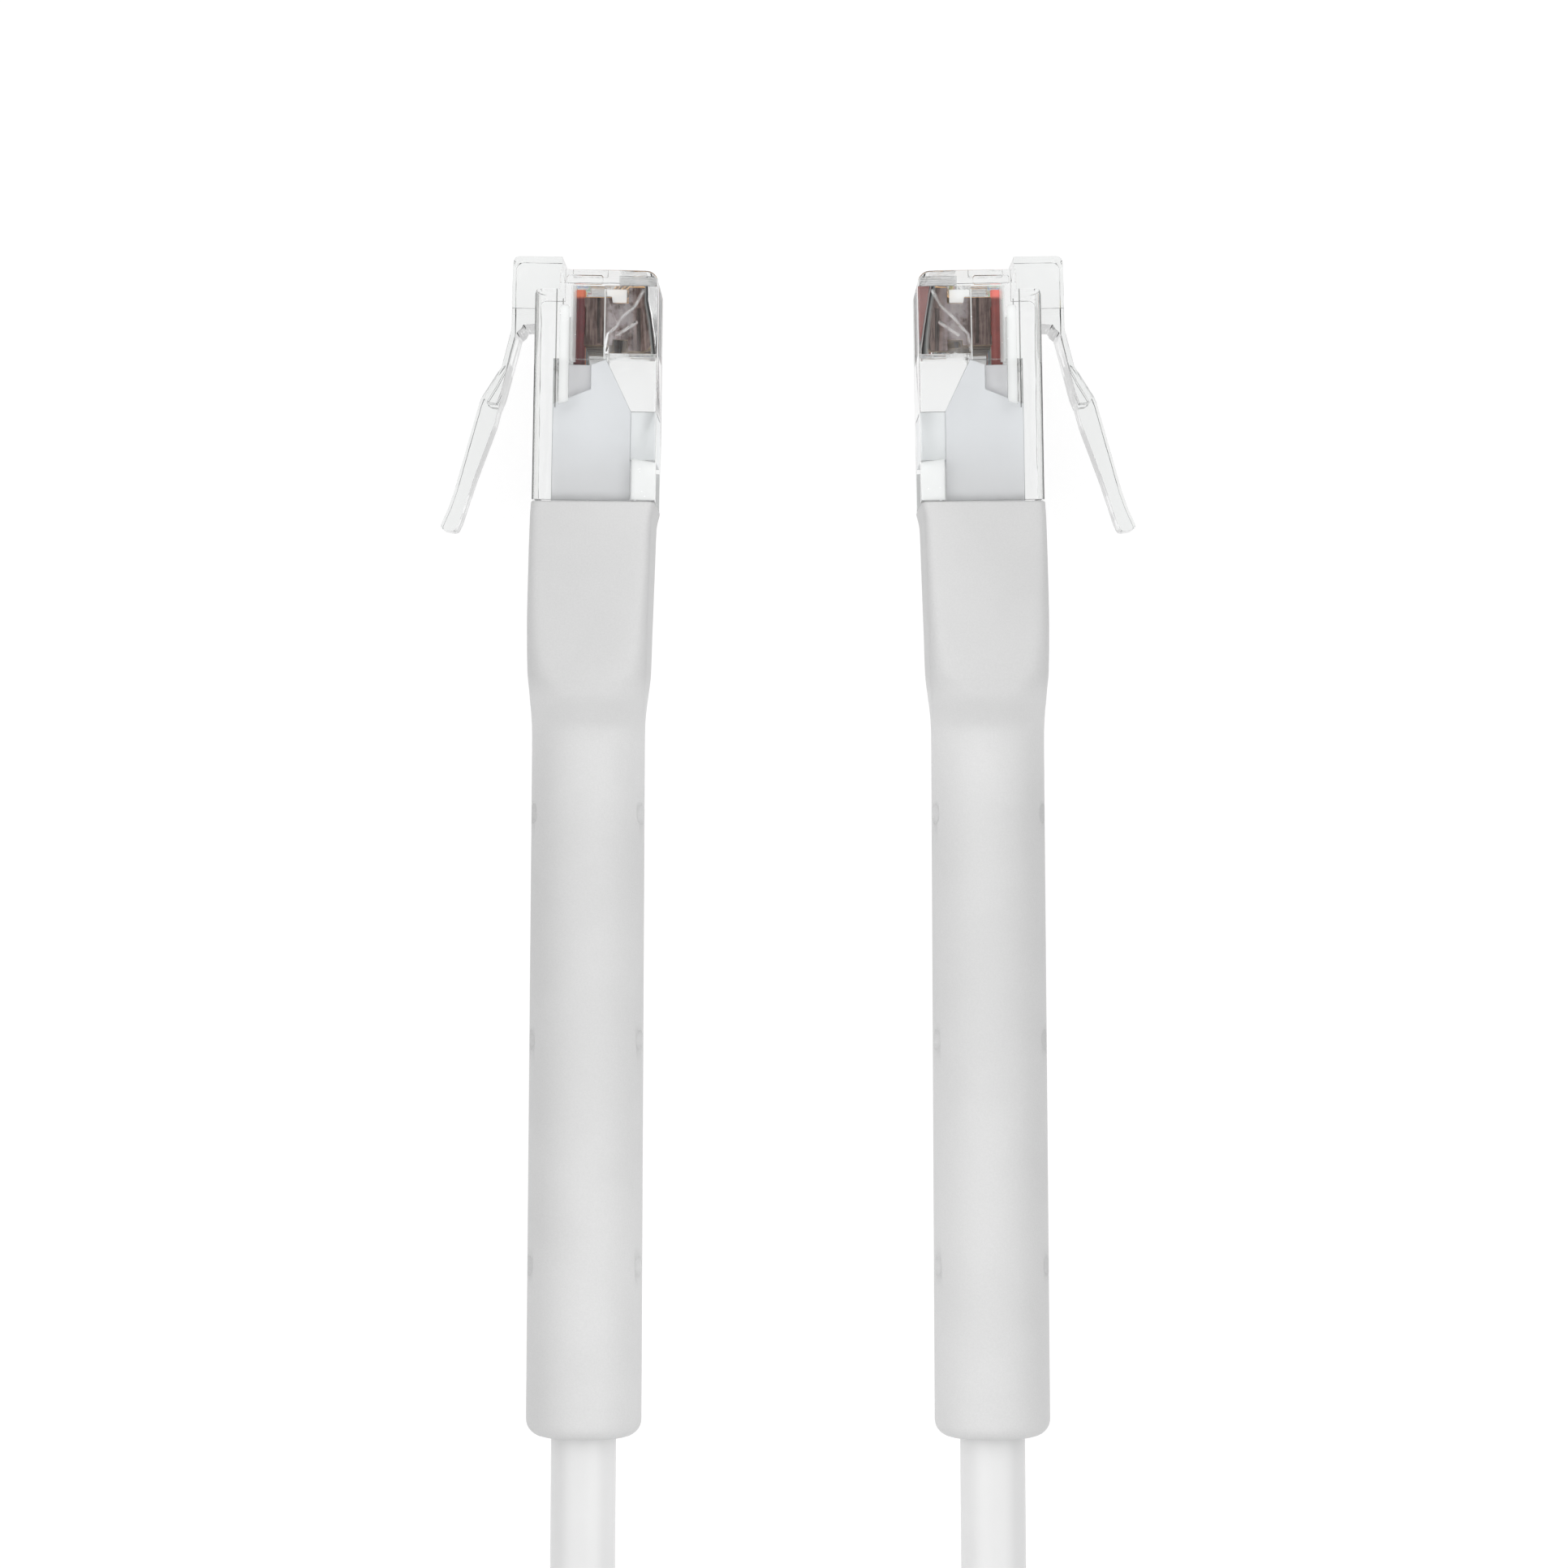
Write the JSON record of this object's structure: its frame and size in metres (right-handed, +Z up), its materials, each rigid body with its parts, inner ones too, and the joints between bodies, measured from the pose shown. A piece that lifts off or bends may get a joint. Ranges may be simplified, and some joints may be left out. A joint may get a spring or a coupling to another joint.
{
  "type": "ethernet patch cable",
  "caption": "Slim round network patch cable, a clear latching modular plug with a long moulded boot on each end, the spare cable wound in a flat tied coil.",
  "frame": {"origin": "middle of the two plug ends' box at its base, without the free cable", "axes": "+Y towards the plug noses, +Z up from the surface it lies on, +X from the left end to the right end"},
  "size_m": [0.0542, 0.137, 0.0119],
  "materials": {
    "clear_plastic": "clear, polished",
    "gilded_contact": "gold plated, satin",
    "copper": "bare stranded copper",
    "clear_bar": "clear, moulded",
    "milky_filling": "milky, moulded",
    "cable_jacket": "smooth soft vinyl",
    "boot_grey": "fine matt moulded vinyl",
    "tie_white": "woven loop strap",
    "wire_white_orange": "smooth insulation",
    "wire_orange": "smooth insulation",
    "wire_white_green": "smooth insulation",
    "wire_blue": "smooth insulation",
    "wire_white_blue": "smooth insulation",
    "wire_green": "smooth insulation",
    "wire_white_brown": "smooth insulation",
    "wire_brown": "smooth insulation"
  },
  "bodies": {
    "root": {"left_plug_housing": "clear_plastic", "left_contact_1": "gilded_contact", "left_contact_2": "gilded_contact", "left_contact_3": "gilded_contact", "left_contact_4": "gilded_contact", "left_contact_5": "gilded_contact", "left_contact_6": "gilded_contact", "left_contact_7": "gilded_contact", "left_contact_8": "gilded_contact", "left_wire_1": "wire_white_orange", "left_wire_2": "wire_orange", "left_wire_3": "wire_white_green", "left_wire_4": "wire_blue", "left_wire_5": "wire_white_blue", "left_wire_6": "wire_green", "left_wire_7": "wire_white_brown", "left_wire_8": "wire_brown", "left_wire_cores": "copper", "left_load_bar": "clear_bar", "left_cable_jacket": "cable_jacket", "left_inner_mould": "milky_filling", "left_boot": "boot_grey", "right_plug_housing": "clear_plastic", "right_contact_1": "gilded_contact", "right_contact_2": "gilded_contact", "right_contact_3": "gilded_contact", "right_contact_4": "gilded_contact", "right_contact_5": "gilded_contact", "right_contact_6": "gilded_contact", "right_contact_7": "gilded_contact", "right_contact_8": "gilded_contact", "right_wire_1": "wire_white_orange", "right_wire_2": "wire_orange", "right_wire_3": "wire_white_green", "right_wire_4": "wire_blue", "right_wire_5": "wire_white_blue", "right_wire_6": "wire_green", "right_wire_7": "wire_white_brown", "right_wire_8": "wire_brown", "right_wire_cores": "copper", "right_load_bar": "clear_bar", "right_cable_jacket": "cable_jacket", "right_inner_mould": "milky_filling", "right_boot": "boot_grey", "cable_coil": "cable_jacket", "cable_run_left": "cable_jacket", "cable_run_right": "cable_jacket", "coil_tie": "tie_white"},
    "left_latch": {"left_latch_lever": "clear_plastic"},
    "right_latch": {"right_latch_lever": "clear_plastic"}
  },
  "joints": [
    {"name": "left_latch_press", "type": "hinge", "parent": "root", "child": "left_latch", "pos_m": [-0.01445, 0.02777, 0.00595], "axis": [0, 0, 1], "range_deg": [0, 15], "stiffness_Nm_per_rad": 0.05},
    {"name": "right_latch_press", "type": "hinge", "parent": "root", "child": "right_latch", "pos_m": [0.01445, 0.02777, 0.00595], "axis": [0, 0, -1], "range_deg": [0, 15], "stiffness_Nm_per_rad": 0.05}
  ]
}
